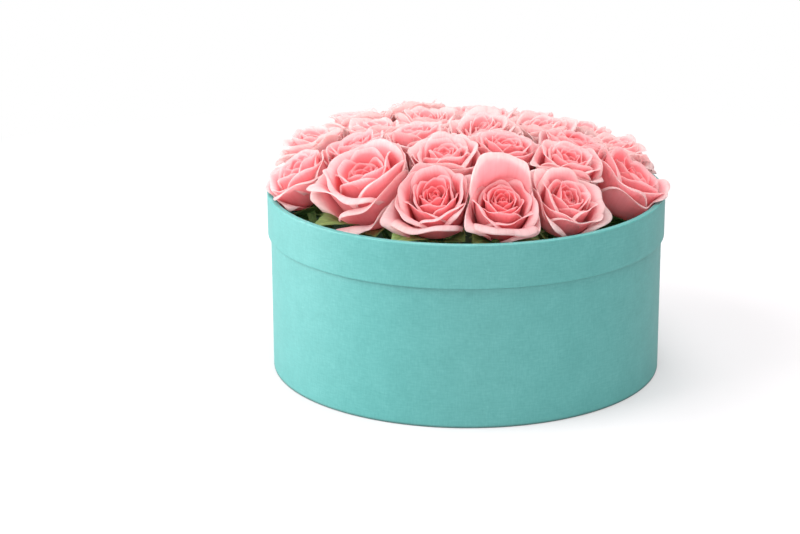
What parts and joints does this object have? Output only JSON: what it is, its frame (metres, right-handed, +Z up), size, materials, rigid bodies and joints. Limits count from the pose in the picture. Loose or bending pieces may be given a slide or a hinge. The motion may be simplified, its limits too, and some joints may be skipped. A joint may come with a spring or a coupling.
{
  "type": "flower box",
  "caption": "Round paper-covered board box with a deep collar, holding a dome of cut roses in wet floral foam that lifts out in its liner.",
  "frame": {"origin": "centre of the underside of the base, on the axis of the round body", "axes": "+Z up along the axis of the body, -Y to the front, +X to the right"},
  "size_m": [0.3046, 0.3046, 0.1816],
  "materials": {
    "teal_paper": "matte embossed covering paper",
    "greyboard": "raw greyboard",
    "liner_film": "thin moulded plastic",
    "floral_foam": "open-cell phenolic foam, wet",
    "rose_petal": "soft petals, pale at the lips",
    "rose_green": "waxy green stem and leaf"
  },
  "bodies": {
    "box": {"base_paper": "teal_paper", "base_board": "greyboard", "body_tube": "greyboard", "body_wrap": "teal_paper", "collar_ring": "greyboard", "collar_wrap": "teal_paper", "lining": "teal_paper"},
    "arrangement": {"liner": "liner_film", "foam_front": "floral_foam", "foam_middle": "floral_foam", "foam_back": "floral_foam"},
    "rose_01": {"rose_01_bloom": "rose_petal", "rose_01_stem": "rose_green"},
    "rose_02": {"rose_02_bloom": "rose_petal", "rose_02_stem": "rose_green"},
    "rose_03": {"rose_03_bloom": "rose_petal", "rose_03_stem": "rose_green"},
    "rose_04": {"rose_04_bloom": "rose_petal", "rose_04_stem": "rose_green"},
    "rose_05": {"rose_05_bloom": "rose_petal", "rose_05_stem": "rose_green"},
    "rose_06": {"rose_06_bloom": "rose_petal", "rose_06_stem": "rose_green"},
    "rose_07": {"rose_07_bloom": "rose_petal", "rose_07_stem": "rose_green"},
    "rose_08": {"rose_08_bloom": "rose_petal", "rose_08_stem": "rose_green"},
    "rose_09": {"rose_09_bloom": "rose_petal", "rose_09_stem": "rose_green"},
    "rose_10": {"rose_10_bloom": "rose_petal", "rose_10_stem": "rose_green"},
    "rose_11": {"rose_11_bloom": "rose_petal", "rose_11_stem": "rose_green"},
    "rose_12": {"rose_12_bloom": "rose_petal", "rose_12_stem": "rose_green"},
    "rose_13": {"rose_13_bloom": "rose_petal", "rose_13_stem": "rose_green"},
    "rose_14": {"rose_14_bloom": "rose_petal", "rose_14_stem": "rose_green"},
    "rose_15": {"rose_15_bloom": "rose_petal", "rose_15_stem": "rose_green"},
    "rose_16": {"rose_16_bloom": "rose_petal", "rose_16_stem": "rose_green"},
    "rose_17": {"rose_17_bloom": "rose_petal", "rose_17_stem": "rose_green"},
    "rose_18": {"rose_18_bloom": "rose_petal", "rose_18_stem": "rose_green"},
    "rose_19": {"rose_19_bloom": "rose_petal", "rose_19_stem": "rose_green"},
    "rose_20": {"rose_20_bloom": "rose_petal", "rose_20_stem": "rose_green"},
    "rose_21": {"rose_21_bloom": "rose_petal", "rose_21_stem": "rose_green"},
    "rose_22": {"rose_22_bloom": "rose_petal", "rose_22_stem": "rose_green"},
    "rose_23": {"rose_23_bloom": "rose_petal", "rose_23_stem": "rose_green"},
    "rose_24": {"rose_24_bloom": "rose_petal", "rose_24_stem": "rose_green"}
  },
  "joints": [
    {"name": "arrangement_lift", "type": "slide", "parent": "box", "child": "arrangement", "axis": [0, 0, 1], "range_m": [0, 0.15]},
    {"name": "rose_01_draw", "type": "slide", "parent": "arrangement", "child": "rose_01", "axis": [-0.4471, -0.0788, 0.891], "range_m": [0, 0.07]},
    {"name": "rose_02_draw", "type": "slide", "parent": "arrangement", "child": "rose_02", "axis": [-0.3023, -0.2722, 0.9135], "range_m": [0, 0.07]},
    {"name": "rose_03_draw", "type": "slide", "parent": "arrangement", "child": "rose_03", "axis": [-0.0915, -0.3963, 0.9135], "range_m": [0, 0.07]},
    {"name": "rose_04_draw", "type": "slide", "parent": "arrangement", "child": "rose_04", "axis": [0.1022, -0.4101, 0.9063], "range_m": [0, 0.07]},
    {"name": "rose_05_draw", "type": "slide", "parent": "arrangement", "child": "rose_05", "axis": [0.2759, -0.3407, 0.8988], "range_m": [0, 0.07]},
    {"name": "rose_06_draw", "type": "slide", "parent": "arrangement", "child": "rose_06", "axis": [0.4608, -0.0896, 0.8829], "range_m": [0, 0.07]},
    {"name": "rose_07_draw", "type": "slide", "parent": "arrangement", "child": "rose_07", "axis": [0.4192, 0.1282, 0.8988], "range_m": [0, 0.07]},
    {"name": "rose_08_draw", "type": "slide", "parent": "arrangement", "child": "rose_08", "axis": [0.3358, 0.2818, 0.8988], "range_m": [0, 0.07]},
    {"name": "rose_09_draw", "type": "slide", "parent": "arrangement", "child": "rose_09", "axis": [0.1922, 0.394, 0.8988], "range_m": [0, 0.07]},
    {"name": "rose_10_draw", "type": "slide", "parent": "arrangement", "child": "rose_10", "axis": [0.0229, 0.4378, 0.8988], "range_m": [0, 0.07]},
    {"name": "rose_11_draw", "type": "slide", "parent": "arrangement", "child": "rose_11", "axis": [-0.1499, 0.4119, 0.8988], "range_m": [0, 0.07]},
    {"name": "rose_12_draw", "type": "slide", "parent": "arrangement", "child": "rose_12", "axis": [-0.3045, 0.3153, 0.8988], "range_m": [0, 0.07]},
    {"name": "rose_13_draw", "type": "slide", "parent": "arrangement", "child": "rose_13", "axis": [-0.4192, 0.1282, 0.8988], "range_m": [0, 0.07]},
    {"name": "rose_14_draw", "type": "slide", "parent": "arrangement", "child": "rose_14", "axis": [-0.0642, -0.1977, 0.9781], "range_m": [0, 0.07]},
    {"name": "rose_15_draw", "type": "slide", "parent": "arrangement", "child": "rose_15", "axis": [0.1228, -0.1228, 0.9848], "range_m": [0, 0.07]},
    {"name": "rose_16_draw", "type": "slide", "parent": "arrangement", "child": "rose_16", "axis": [0.282, -0.1628, 0.9455], "range_m": [0, 0.07]},
    {"name": "rose_17_draw", "type": "slide", "parent": "arrangement", "child": "rose_17", "axis": [0.309, 0.0054, 0.9511], "range_m": [0, 0.07]},
    {"name": "rose_18_draw", "type": "slide", "parent": "arrangement", "child": "rose_18", "axis": [0.2094, 0.1521, 0.9659], "range_m": [0, 0.07]},
    {"name": "rose_19_draw", "type": "slide", "parent": "arrangement", "child": "rose_19", "axis": [0.0713, 0.2662, 0.9613], "range_m": [0, 0.07]},
    {"name": "rose_20_draw", "type": "slide", "parent": "arrangement", "child": "rose_20", "axis": [-0.1053, 0.2364, 0.9659], "range_m": [0, 0.07]},
    {"name": "rose_21_draw", "type": "slide", "parent": "arrangement", "child": "rose_21", "axis": [-0.2676, 0.1545, 0.9511], "range_m": [0, 0.07]},
    {"name": "rose_22_draw", "type": "slide", "parent": "arrangement", "child": "rose_22", "axis": [-0.1549, 0.0218, 0.9877], "range_m": [0, 0.07]},
    {"name": "rose_23_draw", "type": "slide", "parent": "arrangement", "child": "rose_23", "axis": [0.04, 0.0571, 0.9976], "range_m": [0, 0.07]},
    {"name": "rose_24_draw", "type": "slide", "parent": "arrangement", "child": "rose_24", "axis": [-0.3078, -0.0269, 0.9511], "range_m": [0, 0.07]}
  ]
}
